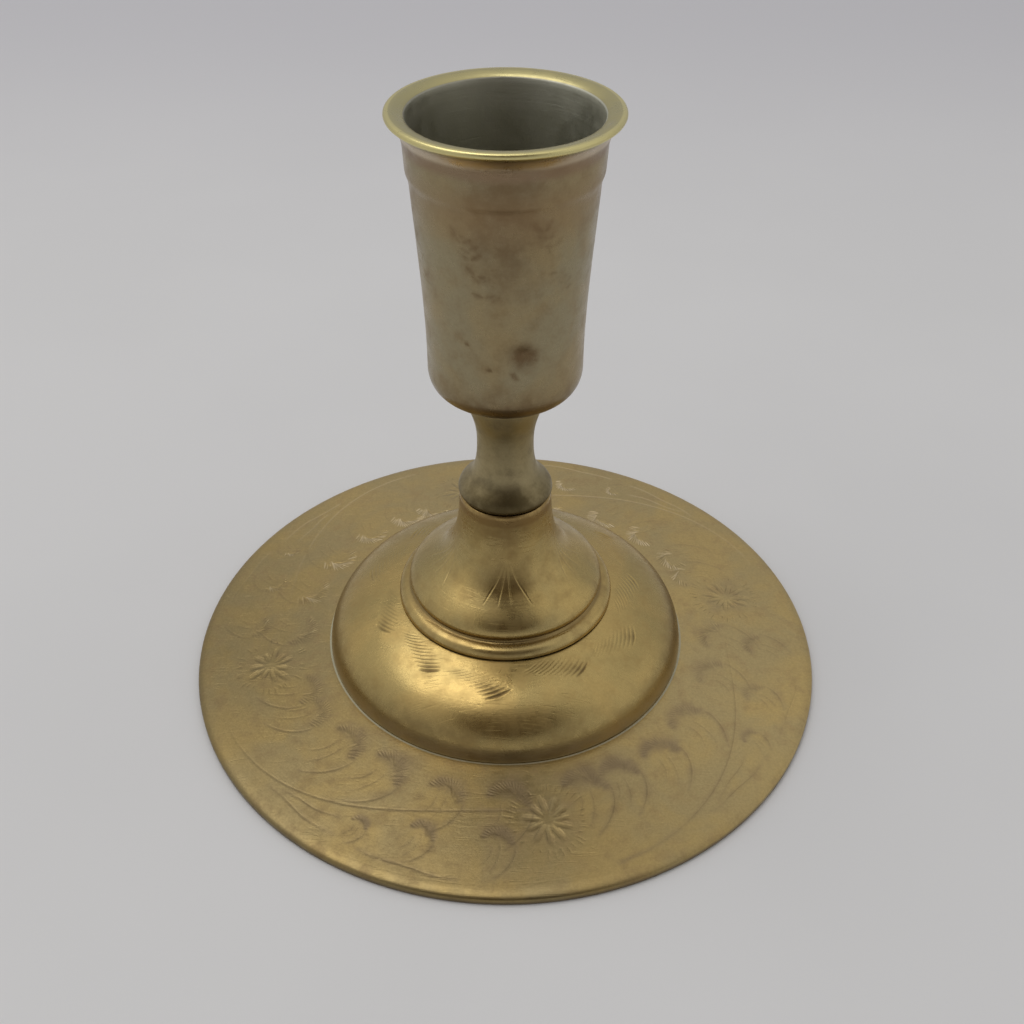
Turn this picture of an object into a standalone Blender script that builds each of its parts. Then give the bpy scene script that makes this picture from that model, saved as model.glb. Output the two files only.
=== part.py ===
"""Turned and spun brass altar candlestick, modelled as it comes apart on a bench.

A tapered candle cup is screwed down on a turned neck. The neck runs on a stud that
ties the bell, the dome and the engraved base plate together over a nut and a washer
in the pressed-up centre of the plate.

Metres, +Z up. The origin is on the axis, on the plane that the base plate rests on.
"""
import math

import bpy

MM = 0.001
FULL_TURN = 2 * math.pi

# Driving dimensions, in millimetres.
CLEARANCE = 0.3            # between faces that touch on the real object
RADIAL_STEPS = 48          # facets round the large turned pieces
SMALL_STEPS = 24           # facets round the fasteners

PLATE_RADIUS = 57.0
PLATE_EDGE_HEIGHT = 1.6
PLATE_THICKNESS = 1.3
PLATE_CREST_HEIGHT = 3.4   # top of the shallow cone, under the dome's edge
BOSS_RADIUS = 10.8         # flat top of the pressed-up centre
DOME_RADIUS = 32.4
DOME_CROWN_HEIGHT = 14.1
DOME_THICKNESS = 1.2
BELL_FLANGE_RADIUS = 19.2
BELL_TOP_HEIGHT = 36.35
BELL_TOP_RADIUS = 7.6
BELL_WEB_HEIGHT = 5.2      # solid metal round the stud at the top of the bell
KNOP_RADIUS = 8.0
WAIST_RADIUS = 4.7
WAIST_HEIGHT = 46.9
NECK_TOP_HEIGHT = 56.1
NECK_TOP_RADIUS = 6.5
CUP_FLOOR_THICKNESS = 2.0
CUP_FOOT_RADIUS = 12.25    # wall radius where the rounded bottom begins
CUP_FOOT_HEIGHT = 62.0
CUP_WALL = 1.25
CUP_COLLAR_RADIUS = 14.25
CUP_COLLAR_HEIGHT = 93.4
MOUTH_RADIUS = 13.75
LIP_RADIUS = 16.75
TOTAL_HEIGHT = 102.0

STUD_RADIUS = 2.5          # M5 thread
STUD_PITCH = 0.8
STUD_TURNS = 8             # whole turns that free the neck from the stud
STUD_BOTTOM = 4.7
CUP_SCREW_RADIUS = 2.0     # M4 countersunk screw
CUP_SCREW_HEAD_RADIUS = 4.0
CUP_SCREW_LENGTH = 10.4
NUT_ACROSS_FLATS = 8.0
NUT_HEIGHT = 4.0
WASHER_RADIUS = 6.5
WASHER_THICKNESS = 1.0

# Heights and radii that follow from the driving dimensions.
STUD_HOLE = STUD_RADIUS + CLEARANCE
SCREW_HOLE = CUP_SCREW_RADIUS + CLEARANCE
NECK_BOTTOM = BELL_TOP_HEIGHT + CLEARANCE
STUD_TOP = NECK_BOTTOM + STUD_PITCH * STUD_TURNS + CLEARANCE
BOSS_HEIGHT = DOME_CROWN_HEIGHT - DOME_THICKNESS - CLEARANCE
WASHER_TOP = BOSS_HEIGHT - PLATE_THICKNESS - CLEARANCE
NUT_TOP = WASHER_TOP - WASHER_THICKNESS - CLEARANCE
CUP_BOTTOM = NECK_TOP_HEIGHT + CLEARANCE
CUP_FLOOR = CUP_BOTTOM + CUP_FLOOR_THICKNESS
SCREW_HEAD_TOP = CUP_FLOOR - 0.1


def clear_scene():
    """Remove what the scene holds."""
    for item in list(bpy.data.objects):
        bpy.data.objects.remove(item, do_unlink=True)


def new_collection(name):
    """Make a collection in the scene."""
    collection = bpy.data.collections.new(name)
    bpy.context.scene.collection.children.link(collection)
    return collection


def metal(name, colour, roughness):
    """Make a metallic Principled material."""
    material = bpy.data.materials.new(name)
    material.use_nodes = True
    shader = material.node_tree.nodes["Principled BSDF"]
    shader.inputs["Base Color"].default_value = (*colour, 1.0)
    shader.inputs["Metallic"].default_value = 1.0
    shader.inputs["Roughness"].default_value = roughness
    material.diffuse_color = (*colour, 1.0)
    return material


def arc(centre, radius, start, end, steps):
    """Points along a circular arc, angles in degrees from the +radius direction."""
    angles = [math.radians(start + (end - start) * i / steps) for i in range(steps + 1)]
    return [(centre[0] + radius * math.cos(a), centre[1] + radius * math.sin(a)) for a in angles]


def curve(start, pull, push, end, steps):
    """Points along a cubic Bezier curve."""
    points = []
    for i in range(steps + 1):
        t = i / steps
        weights = ((1 - t) ** 3, 3 * t * (1 - t) ** 2, 3 * t * t * (1 - t), t ** 3)
        points.append(tuple(sum(w * p[axis] for w, p in zip(weights, (start, pull, push, end)))
                            for axis in (0, 1)))
    return points


def turned(name, outline, closed, material, collection, steps=RADIAL_STEPS):
    """Turn an outline of (radius, height) in millimetres about the Z axis.

    The outline runs down its outer side. A closed outline makes a ring, and an open one
    starts and ends on the axis.
    """
    vertices = [(radius * MM, 0.0, height * MM) for radius, height in outline]
    count = len(vertices)
    edges = [(i, i + 1) for i in range(count - 1)]
    if closed:
        edges.append((count - 1, 0))
    mesh = bpy.data.meshes.new(name)
    mesh.from_pydata(vertices, edges, [])
    piece = bpy.data.objects.new(name, mesh)
    collection.objects.link(piece)
    mesh.materials.append(material)
    screw = piece.modifiers.new("turn", "SCREW")
    screw.axis = "Z"
    screw.angle = FULL_TURN
    screw.steps = steps
    screw.render_steps = steps
    screw.use_merge_vertices = True
    screw.merge_threshold = 0.00001
    screw.use_smooth_shade = True
    return piece


def cut(piece, cutter, operation="DIFFERENCE"):
    """Cut a piece with another object, or keep what they share."""
    boolean = piece.modifiers.new(operation.lower(), "BOOLEAN")
    boolean.operation = operation
    boolean.solver = "EXACT"
    boolean.object = cutter
    cutter.hide_render = True
    cutter.display_type = "WIRE"


def make_candle_cup(parts, material):
    """The tapered socket: flared flat lip, collar, tapering wall and rounded bottom."""
    lip_edge = arc((LIP_RADIUS - 0.45, TOTAL_HEIGHT - 0.5), 0.45, 80, -65, 4)
    under_lip = curve(lip_edge[-1], (15.4, 100.2), (14.55, 99.3), (CUP_COLLAR_RADIUS + 0.1, 97.0), 4)
    wall_top = (CUP_COLLAR_RADIUS - 0.55, CUP_COLLAR_HEIGHT - 1.9)
    wall_foot = (CUP_FOOT_RADIUS, CUP_FOOT_HEIGHT)
    wall = curve(wall_top, (13.0, 81.0), (12.1, 72.0), wall_foot, 6)
    bottom = curve(wall_foot, (12.35, 58.6), (10.6, 57.4), (NECK_TOP_RADIUS + 0.2, CUP_BOTTOM), 6)
    floor_corner = curve((6.6, CUP_FLOOR), (9.0, CUP_FLOOR + 0.2), (10.7, 60.2), (10.95, 63.0), 5)
    inner_wall = curve((10.95, 63.0), (11.2, 70.0), (12.1, 82.0), (MOUTH_RADIUS - 0.2, 97.0), 4)
    mouth = curve((MOUTH_RADIUS, 101.0), (14.0, 101.5), (14.7, 101.8), (15.6, TOTAL_HEIGHT), 3)
    outline = [(16.0, TOTAL_HEIGHT)]
    outline += lip_edge
    outline += under_lip[1:]
    outline += [(CUP_COLLAR_RADIUS, CUP_COLLAR_HEIGHT)]
    outline += wall
    outline += bottom[1:]
    outline += [(CUP_SCREW_HEAD_RADIUS, CUP_BOTTOM), (SCREW_HOLE, CUP_BOTTOM)]
    outline += [(SCREW_HOLE, CUP_BOTTOM + 0.35)]
    outline += [(CUP_SCREW_HEAD_RADIUS + CLEARANCE, CUP_FLOOR - 0.05)]
    outline += [(CUP_SCREW_HEAD_RADIUS + CLEARANCE, CUP_FLOOR)]
    outline += floor_corner
    outline += inner_wall[1:]
    outline += mouth
    return turned("candle_cup", outline, True, material, parts)


def make_cup_screw(parts, cutters, material):
    """The countersunk screw through the cup's floor, with a straight slot."""
    head_rim = SCREW_HEAD_TOP - 0.15
    neck_of_head = CUP_BOTTOM + 0.35
    tip = CUP_FLOOR - CUP_SCREW_LENGTH
    outline = [
        (0.0, SCREW_HEAD_TOP),
        (CUP_SCREW_HEAD_RADIUS, SCREW_HEAD_TOP),
        (CUP_SCREW_HEAD_RADIUS, head_rim),
        (CUP_SCREW_RADIUS, neck_of_head),
        (CUP_SCREW_RADIUS, tip + 0.5),
        (CUP_SCREW_RADIUS - 0.5, tip),
        (0.0, tip),
    ]
    screw = turned("cup_screw", outline, False, material, parts, SMALL_STEPS)
    slot_depth = 0.9
    bpy.ops.mesh.primitive_cube_add(size=1.0, location=(0, 0, SCREW_HEAD_TOP * MM))
    slot = bpy.context.object
    slot.name = "screw_slot"
    slot.scale = (3 * CUP_SCREW_HEAD_RADIUS * MM, 1.0 * MM, 2 * slot_depth * MM)
    move_to(slot, cutters)
    cut(screw, slot)
    return screw


def make_neck(parts, material):
    """The turned neck: flared top, narrow waist and knop, tapped from both ends."""
    screw_bore_floor = CUP_FLOOR - CUP_SCREW_LENGTH - 0.5
    stud_bore_floor = STUD_TOP + 0.7
    flare = curve((NECK_TOP_RADIUS, NECK_TOP_HEIGHT), (6.2, 53.0), (WAIST_RADIUS, 51.4),
                  (WAIST_RADIUS, WAIST_HEIGHT), 7)
    waist = curve((WAIST_RADIUS, WAIST_HEIGHT), (WAIST_RADIUS, 43.7), (5.0, 41.6), (6.0, 40.2), 5)
    knop = curve((6.0, 40.2), (6.9, 39.1), (7.9, 38.6), (KNOP_RADIUS, NECK_BOTTOM + 0.7), 4)
    outline = [(0.0, screw_bore_floor), (SCREW_HOLE, screw_bore_floor), (SCREW_HOLE, NECK_TOP_HEIGHT)]
    outline += flare
    outline += waist[1:]
    outline += knop[1:]
    outline += [(KNOP_RADIUS - 0.1, NECK_BOTTOM + 0.3), (KNOP_RADIUS - 0.5, NECK_BOTTOM)]
    outline += [(STUD_HOLE, NECK_BOTTOM), (STUD_HOLE, stud_bore_floor), (0.0, stud_bore_floor)]
    return turned("neck", outline, False, material, parts)


def make_stud(parts, material):
    """The plain-turned envelope of the M5 stud, with chamfered ends."""
    chamfer = 0.5
    outline = [
        (0.0, STUD_TOP),
        (STUD_RADIUS - chamfer, STUD_TOP),
        (STUD_RADIUS, STUD_TOP - chamfer),
        (STUD_RADIUS, STUD_BOTTOM + chamfer),
        (STUD_RADIUS - chamfer, STUD_BOTTOM),
        (0.0, STUD_BOTTOM),
    ]
    return turned("tie_stud", outline, False, material, parts, SMALL_STEPS)


def make_bell(parts, material):
    """The hollow trumpet foot: top web, flaring side, rounded shoulder, groove and bead."""
    foot_height = DOME_CROWN_HEIGHT + CLEARANCE
    web_bottom = BELL_TOP_HEIGHT - BELL_WEB_HEIGHT
    flank = curve((BELL_TOP_RADIUS + 0.3, BELL_TOP_HEIGHT - 0.3), (8.1, 30.5), (8.5, 25.6), (12.0, 22.7), 8)
    shoulder = curve((12.0, 22.7), (14.4, 20.8), (16.9, 19.6), (17.2, 17.8), 5)
    bead = curve((17.2, 16.1), (18.4, 16.1), (BELL_FLANGE_RADIUS, 15.4),
                 (BELL_FLANGE_RADIUS, foot_height), 4)
    hollow = curve((15.0, foot_height), (14.6, 17.6), (6.6, 21.6), (5.6, 28.4), 7)
    outline = [(BELL_TOP_RADIUS, BELL_TOP_HEIGHT)]
    outline += flank
    outline += shoulder[1:]
    outline += [(16.8, 16.9)]
    outline += bead
    outline += hollow
    outline += [(4.4, web_bottom), (STUD_HOLE, web_bottom), (STUD_HOLE, BELL_TOP_HEIGHT)]
    return turned("bell", outline, True, material, parts)


def make_dome(parts, material):
    """The spun sheet dome between the bell and the base plate."""
    edge_height = PLATE_CREST_HEIGHT + CLEARANCE
    crown_inside = DOME_CROWN_HEIGHT - DOME_THICKNESS
    outside = curve((BELL_FLANGE_RADIUS, DOME_CROWN_HEIGHT), (26.0, 12.6), (31.9, 10.2),
                    (DOME_RADIUS, edge_height), 9)
    inside = curve((DOME_RADIUS - DOME_THICKNESS, edge_height), (30.9, 9.2), (25.2, 11.5),
                   (BELL_FLANGE_RADIUS - 0.4, crown_inside), 8)
    outline = [(STUD_HOLE, DOME_CROWN_HEIGHT)]
    outline += outside
    outline += inside
    outline += [(STUD_HOLE, crown_inside)]
    return turned("dome", outline, True, material, parts)


def make_base_plate(parts, material):
    """The sheet base plate: lip, shallow cone, and a centre pressed up to hold the nut."""
    under = PLATE_THICKNESS
    boss_side = curve((BOSS_RADIUS, BOSS_HEIGHT), (14.4, BOSS_HEIGHT), (14.6, PLATE_CREST_HEIGHT),
                      (20.0, PLATE_CREST_HEIGHT), 6)
    boss_under = curve((21.0, PLATE_CREST_HEIGHT - under), (13.2, PLATE_CREST_HEIGHT - under),
                       (13.6, BOSS_HEIGHT - under), (BOSS_RADIUS - 0.8, BOSS_HEIGHT - under), 6)
    edge = arc((PLATE_RADIUS - 0.6, PLATE_EDGE_HEIGHT - 0.6), 0.6, 80, 0, 3)
    outline = [(STUD_HOLE, BOSS_HEIGHT)]
    outline += boss_side
    outline += [(DOME_RADIUS + 0.8, PLATE_CREST_HEIGHT)]
    outline += edge
    outline += [(PLATE_RADIUS, 0.3), (PLATE_RADIUS - 0.3, 0.0)]
    outline += [(PLATE_RADIUS - 3.2, 0.0), (PLATE_RADIUS - 3.8, PLATE_EDGE_HEIGHT - under + 0.2)]
    outline += [(DOME_RADIUS + 0.8, PLATE_CREST_HEIGHT - under)]
    outline += boss_under
    outline += [(STUD_HOLE, BOSS_HEIGHT - under)]
    return turned("base_plate", outline, True, material, parts)


def make_washer(parts, material):
    """The flat washer under the pressed-up centre of the plate."""
    bottom = WASHER_TOP - WASHER_THICKNESS
    outline = [
        (STUD_HOLE, WASHER_TOP),
        (WASHER_RADIUS, WASHER_TOP),
        (WASHER_RADIUS, bottom),
        (STUD_HOLE, bottom),
    ]
    return turned("base_washer", outline, True, material, parts, SMALL_STEPS)


def make_nut(parts, cutters, material):
    """The hexagon nut: a six-sided prism with turned chamfers and a bore."""
    bottom = NUT_TOP - NUT_HEIGHT
    corner = NUT_ACROSS_FLATS / math.sqrt(3)
    bpy.ops.mesh.primitive_cylinder_add(
        vertices=6, radius=corner * MM, depth=NUT_HEIGHT * MM,
        location=(0, 0, (bottom + NUT_HEIGHT / 2) * MM))
    nut = bpy.context.object
    nut.name = "base_nut"
    nut.data.materials.append(material)
    move_to(nut, parts)
    flat = NUT_ACROSS_FLATS / 2
    chamfer_outline = [
        (0.0, NUT_TOP + 0.1),
        (flat - 0.2, NUT_TOP + 0.1),
        (corner + 0.3, NUT_TOP - 0.6),
        (corner + 0.3, bottom + 0.6),
        (flat - 0.2, bottom - 0.1),
        (0.0, bottom - 0.1),
    ]
    cut(nut, turned("nut_chamfer", chamfer_outline, False, material, cutters, SMALL_STEPS), "INTERSECT")
    bore_outline = [(0.0, NUT_TOP + 1), (STUD_HOLE, NUT_TOP + 1), (STUD_HOLE, bottom - 1), (0.0, bottom - 1)]
    cut(nut, turned("nut_bore", bore_outline, False, material, cutters, SMALL_STEPS))
    return nut


def move_to(piece, collection):
    """Link an object to one collection only."""
    for owner in list(piece.users_collection):
        owner.objects.unlink(piece)
    collection.objects.link(piece)


def main():
    """Build the candlestick."""
    clear_scene()
    parts = new_collection("altar_candlestick")
    cutters = new_collection("cutters")
    cup_brass = metal("cup_brass", (0.42, 0.36, 0.22), 0.42)
    neck_brass = metal("neck_brass", (0.40, 0.34, 0.20), 0.40)
    bell_brass = metal("bell_brass", (0.45, 0.36, 0.17), 0.36)
    dome_brass = metal("dome_brass", (0.50, 0.40, 0.16), 0.34)
    plate_brass = metal("plate_brass", (0.48, 0.39, 0.18), 0.44)
    stud_brass = metal("stud_brass", (0.62, 0.50, 0.24), 0.35)
    screw_brass = metal("screw_brass", (0.52, 0.42, 0.20), 0.40)
    steel = metal("zinc_steel", (0.55, 0.55, 0.53), 0.38)
    make_candle_cup(parts, cup_brass)
    make_cup_screw(parts, cutters, screw_brass)
    make_neck(parts, neck_brass)
    make_stud(parts, stud_brass)
    make_bell(parts, bell_brass)
    make_dome(parts, dome_brass)
    make_base_plate(parts, plate_brass)
    make_washer(parts, steel)
    make_nut(parts, cutters, steel)


main()
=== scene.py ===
"""Looks of the turned and engraved brass altar candlestick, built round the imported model."""
import math
from types import SimpleNamespace

import bmesh
import bpy
import numpy as np
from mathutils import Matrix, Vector


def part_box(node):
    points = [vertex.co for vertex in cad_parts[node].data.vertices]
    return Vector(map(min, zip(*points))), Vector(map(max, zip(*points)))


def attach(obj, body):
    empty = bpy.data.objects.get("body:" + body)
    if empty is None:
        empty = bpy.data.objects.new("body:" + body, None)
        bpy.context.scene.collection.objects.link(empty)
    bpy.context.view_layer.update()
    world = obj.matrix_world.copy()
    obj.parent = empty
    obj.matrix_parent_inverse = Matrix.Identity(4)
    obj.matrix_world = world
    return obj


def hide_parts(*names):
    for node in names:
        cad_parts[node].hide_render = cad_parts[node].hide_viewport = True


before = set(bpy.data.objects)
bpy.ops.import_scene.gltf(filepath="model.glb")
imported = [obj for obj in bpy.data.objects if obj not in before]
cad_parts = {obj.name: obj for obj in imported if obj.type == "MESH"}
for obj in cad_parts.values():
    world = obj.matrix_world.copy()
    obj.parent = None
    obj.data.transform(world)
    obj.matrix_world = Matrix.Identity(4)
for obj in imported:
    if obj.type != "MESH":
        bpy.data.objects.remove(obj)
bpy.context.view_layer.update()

MM = 0.001
FULL_TURN = 2 * math.pi


# ---- sizes taken from the frame, in millimetres

def box_mm(node):
    """Radius, lowest and highest point of a CAD node."""
    low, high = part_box(node)
    return high.x / MM, low.z / MM, high.z / MM


PLATE_RADIUS, _, PLATE_BOSS = box_mm("base_plate")
DOME_RADIUS, DOME_FOOT, DOME_CROWN = box_mm("dome")
BELL_RADIUS, BELL_FOOT, BELL_TOP = box_mm("bell")
KNOP_RADIUS, NECK_FOOT, NECK_TOP = box_mm("neck")
LIP_RADIUS, CUP_FOOT, CUP_TOP = box_mm("candle_cup")
STUD_RADIUS, STUD_FOOT, STUD_TOP = box_mm("tie_stud")
HEAD_RADIUS, SCREW_TIP, SCREW_TOP = box_mm("cup_screw")
WASHER_RADIUS, WASHER_FOOT, WASHER_TOP = box_mm("base_washer")
NUT_HALF, NUT_FOOT, NUT_TOP = box_mm("base_nut")

CREST = DOME_FOOT - 0.3     # top of the plate where the dome stands
SHEET = 1.3                 # thickness of the plate
DOME_SHEET = 1.2
CUP_FLOOR = SCREW_TOP + 0.1
SCREW_RADIUS = 2.0
STUD_HOLE = STUD_RADIUS + 0.3
SCREW_HOLE = SCREW_RADIUS + 0.3
STUD_PITCH = 0.8
SCREW_PITCH = 0.7


# ---- outlines of (radius, height)

def arc(centre, radius, start, end, steps):
    """Points along a circular arc, with angles in degrees."""
    angles = np.radians(np.linspace(start, end, steps + 1))
    return [(centre[0] + radius * math.cos(a), centre[1] + radius * math.sin(a)) for a in angles]


def curve(start, pull, push, end, steps):
    """Points along a cubic Bezier curve."""
    corners = np.array([start, pull, push, end], float)
    t = np.linspace(0, 1, steps + 1)[:, None]
    weights = np.hstack([(1 - t) ** 3, 3 * t * (1 - t) ** 2, 3 * t * t * (1 - t), t ** 3])
    return [tuple(p) for p in weights @ corners]


def line(start, end, steps=1):
    """Evenly spaced points on a straight line."""
    t = np.linspace(0, 1, steps + 1)[:, None]
    return [tuple(p) for p in np.array(start) * (1 - t) + np.array(end) * t]


def joined(*stretches):
    """One outline from several stretches, without doubled points."""
    outline = []
    for stretch in stretches:
        for point in stretch:
            if not outline or math.dist(point, outline[-1]) > 1e-4:
                outline.append((float(point[0]), float(point[1])))
    if math.dist(outline[0], outline[-1]) < 1e-4:
        outline.pop()
    return outline


def runs(points):
    """Length along a line of points, up to each of them."""
    return np.concatenate([[0], np.cumsum(np.hypot(*np.diff(points, axis=0).T))])


def run_to(outline, place):
    """Length along an outline to its point nearest a place."""
    away = np.hypot(*(np.array(outline) - place).T)
    return float(runs(outline)[np.argmin(away)])


def ramp(value, start, end):
    """0 at the start of a range of values and 1 at its end, with a straight slope between."""
    return np.clip((value - start) / (end - start), 0, 1)


# ---- engraving

class Relief:
    """Graver cuts on a band round a turned surface, kept as maps over the unrolled band.

    A place on the band is (angle in degrees, distance along the outline in millimetres).
    """

    def __init__(self, first_run, length, radii, pitch=0.08):
        self.first_run = first_run
        self.pitch = pitch
        self.rows = int(length / pitch) + 2
        self.columns = int(FULL_TURN * max(radii) / pitch)
        run = np.arange(self.rows) * pitch
        self.radius = np.interp(run, np.linspace(0, length, len(radii)), radii)
        maps = np.zeros((4, self.rows, self.columns), np.float32)
        self.depth, self.burr, self.dirt, self.tone = maps

    def near(self, places, reach, swell):
        """The part of the maps near a line: its window, each cell's distance, and its form.

        The form is the line's relative width there: 1 at its middle, 1 - swell at its ends.
        """
        places = np.array(places, float)
        row_low = max(int((places[:, 1].min() - reach) / self.pitch), 0)
        row_high = min(int((places[:, 1].max() + reach) / self.pitch) + 2, self.rows)
        if row_high <= row_low:
            return None
        degree = math.radians(1) * float(self.radius[(row_low + row_high) // 2])
        per_degree = self.columns / 360
        column_low = math.floor((places[:, 0].min() - reach / degree) * per_degree)
        column_high = math.ceil((places[:, 0].max() + reach / degree) * per_degree)
        across = np.arange(column_low, column_high + 1)
        x = (across / per_degree)[None, :] * degree
        y = (np.arange(row_low, row_high) * self.pitch)[:, None]
        points = places * (degree, 1.0)
        lengths = np.hypot(*np.diff(points, axis=0).T)
        best = np.full((y.shape[0], x.shape[1]), 1e9)
        share = np.zeros_like(best)
        gone = 0.0
        for start, end, length in zip(points[:-1], points[1:], lengths):
            step = (end - start) / max(length, 1e-6)
            along = np.clip((x - start[0]) * step[0] + (y - start[1]) * step[1], 0, length)
            away = np.hypot(x - start[0] - along * step[0], y - start[1] - along * step[1])
            nearer = away < best
            best = np.where(nearer, away, best)
            share = np.where(nearer, (gone + along) / lengths.sum(), share)
            gone += length
        form = (1 - swell) + swell * np.sin(np.pi * np.clip(share, 0, 1)) ** 0.7
        return np.ix_(np.arange(row_low, row_high), across % self.columns), best, form

    def cut(self, places, width, depth, swell=0.6, burr=0.25, dirt=1.0):
        """Cut along a line of places. The cut swells from its ends to its middle.

        dirt is how much dark tarnish stays in the cut.
        """
        found = self.near(places, width + 0.3, swell)
        if found is None:
            return
        window, away, form = found
        q = away / np.maximum(width / 2 * form, 1e-3)
        hollow = form * np.clip(1 - q * q, 0, 1)
        ridge = depth * burr * form * np.clip(1 - np.abs(q - 1.45) / 0.45, 0, 1)
        self.depth[window] = np.maximum(self.depth[window], depth * hollow)
        self.dirt[window] = np.maximum(self.dirt[window], dirt * hollow)
        self.burr[window] = np.maximum(self.burr[window], ridge)

    def stain(self, places, width, strength, taper=0.55):
        """Darken softly along a line of places, or with a strength below zero paint a highlight
        along it.
        """
        found = self.near(places, width, taper)
        if found is None:
            return
        window, away, form = found
        soft = strength * np.exp(-(away / (width / 2 * form)) ** 2)
        stronger = np.abs(soft) > np.abs(self.tone[window])
        self.tone[window] = np.where(stronger, soft, self.tone[window])

    def read(self, array, angle, run):
        """Values of one of the maps at angles in radians and runs in millimetres."""
        column = (angle / FULL_TURN % 1.0) * self.columns
        row = (run - self.first_run) / self.pitch
        inside = (row >= 0) & (row <= self.rows - 2)
        row = np.clip(row, 0, self.rows - 2)
        c0 = np.floor(column).astype(int)
        r0 = np.floor(row).astype(int)
        a = column - c0
        b = row - r0
        c0 = c0 % self.columns
        c1 = (c0 + 1) % self.columns
        value = (array[r0, c0] * (1 - a) * (1 - b) + array[r0, c1] * a * (1 - b)
                 + array[r0 + 1, c0] * (1 - a) * b + array[r0 + 1, c1] * a * b)
        return np.where(inside, value, 0.0)


# ---- turned meshes

def nothing(at):
    return 0.0


def turned(node, outline, columns, body, slot, material, relief=None, closed=True,
           shape=nothing, darken=nothing, mark=nothing, sharp=40):
    """Turn an outline into a fine mesh, carve its relief and put it in its node's place.

    shape(at) gives more height along the surface's normal, in millimetres. at holds the
    angle, radius and height of each point, and its share of the outline's length. darken(at)
    gives a darker tone, mostly painted shade with some tarnish, and mark(at) gives an
    attribute of its own for the material.
    """
    points = np.array(outline, float)
    loop = np.vstack([points, points[:1]]) if closed else points
    rows = len(loop) - 1
    run = runs(loop)
    tangent = np.gradient(loop, axis=0)
    if closed:
        tangent[0] = tangent[-1] = loop[1] - loop[-2]
    normal = normals(tangent)
    bend = corner_bend(loop, run, closed)

    mesh = unrolled_sheet(node + "_fine", columns, rows)
    if relief is not None:
        refine(mesh, relief, columns, run)
    co = np.zeros(len(mesh.vertices) * 3)
    mesh.vertices.foreach_get("co", co)
    co = co.reshape(-1, 3)
    angle = np.arctan2(co[:, 1], co[:, 0])
    index = np.arange(rows + 1)
    radius, height, out_r, out_z, distance, edge = (
        np.interp(co[:, 2], index, values)
        for values in (loop[:, 0], loop[:, 1], normal[:, 0], normal[:, 1], run, bend))
    push, cut, tone, marked = np.zeros((4, len(co)))
    if relief is not None:
        depth = relief.read(relief.depth, angle, distance)
        push += relief.read(relief.burr, angle, distance) - depth
        cut += relief.read(relief.dirt, angle, distance)
        tone += relief.read(relief.tone, angle, distance)
    at = SimpleNamespace(angle=angle, share=distance / run[-1], radius=radius, height=height)
    push += shape(at)
    tone += darken(at)
    marked += mark(at)
    push *= ramp(radius, 0.0, 0.5)
    radius = radius + out_r * push
    height = height + out_z * push
    co = np.column_stack([radius * np.cos(angle), radius * np.sin(angle), height]) * MM
    mesh.vertices.foreach_set("co", co.ravel())
    for label, values in (("cut", cut), ("edge", edge), ("tone", tone), ("mark", marked)):
        mesh.attributes.new(label, "FLOAT", "POINT").data.foreach_set("value", values)

    weld = bmesh.new()
    weld.from_mesh(mesh)
    bmesh.ops.remove_doubles(weld, verts=weld.verts, dist=1e-6)
    bmesh.ops.recalc_face_normals(weld, faces=weld.faces)
    weld.to_mesh(mesh)
    weld.free()
    mesh.shade_smooth()
    mesh.set_sharp_from_angle(angle=math.radians(sharp))
    piece = bpy.data.objects.new(node + "_fine", mesh)
    return place(piece, node, body, slot, material)


def unrolled_sheet(name, columns, rows):
    """A tube of unit radius and of one unit a row, which holds the places of a turned mesh."""
    angle = np.arange(columns) / columns * FULL_TURN
    ring = np.column_stack([np.cos(angle), np.sin(angle)])
    vertices = [(x, y, row) for row in range(rows + 1) for x, y in ring]
    faces = []
    for row in range(rows):
        for column in range(columns):
            after = (column + 1) % columns
            low, high = row * columns, (row + 1) * columns
            faces.append((low + column, high + column, high + after, low + after))
    mesh = bpy.data.meshes.new(name)
    mesh.from_pydata(vertices, [], faces)
    return mesh


def normals(ways):
    """Unit vectors square to directions in an outline's plane, to their left."""
    square = np.column_stack([-ways[:, 1], ways[:, 0]])
    return square / np.maximum(np.linalg.norm(square, axis=1), 1e-9)[:, None]


def corner_bend(loop, run, closed):
    """How far each outline point stands out of (1) or back from (-1) its neighbourhood."""
    reach = 0.6
    sides = []
    for shift in (-reach, reach):
        at = run + shift
        at = at % run[-1] if closed else np.clip(at, 0, run[-1])
        sides.append(np.column_stack([np.interp(at, run, loop[:, 0]),
                                      np.interp(at, run, loop[:, 1])]))
    middle = (sides[0] + sides[1]) / 2
    outward = normals(sides[1] - sides[0])
    full_bend = 0.22
    return np.clip(((loop - middle) * outward).sum(axis=1) / full_bend, -1, 1)


def refine(mesh, relief, columns, run, passes=2, least=0.012):
    """Divide the cells of the sheet that a cut passes through, in each direction."""
    sheet = bmesh.new()
    sheet.from_mesh(mesh)
    index = np.arange(len(run))
    for level in range(passes):
        size = 0.5 ** level
        centres = np.array([face.calc_center_median() for face in sheet.faces])
        angle = np.arctan2(centres[:, 1], centres[:, 0])
        deepest = np.zeros(len(centres))
        for across in (-0.55, -0.2, 0.2, 0.55):
            for down in (-0.55, -0.2, 0.2, 0.55):
                at = np.interp(centres[:, 2] + down * size, index, run)
                turn = angle + across * size / columns * FULL_TURN
                deepest = np.maximum(deepest, relief.read(relief.depth, turn, at))
        sheet.faces.ensure_lookup_table()
        chosen = [sheet.faces[i] for i in np.flatnonzero(deepest > least)]
        edges = list(dict.fromkeys(edge for face in chosen for edge in face.edges))
        bmesh.ops.subdivide_edges(sheet, edges=edges, cuts=1, use_grid_fill=True)
    sheet.to_mesh(mesh)
    sheet.free()


def link(made):
    bpy.context.scene.collection.objects.link(made)


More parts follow.
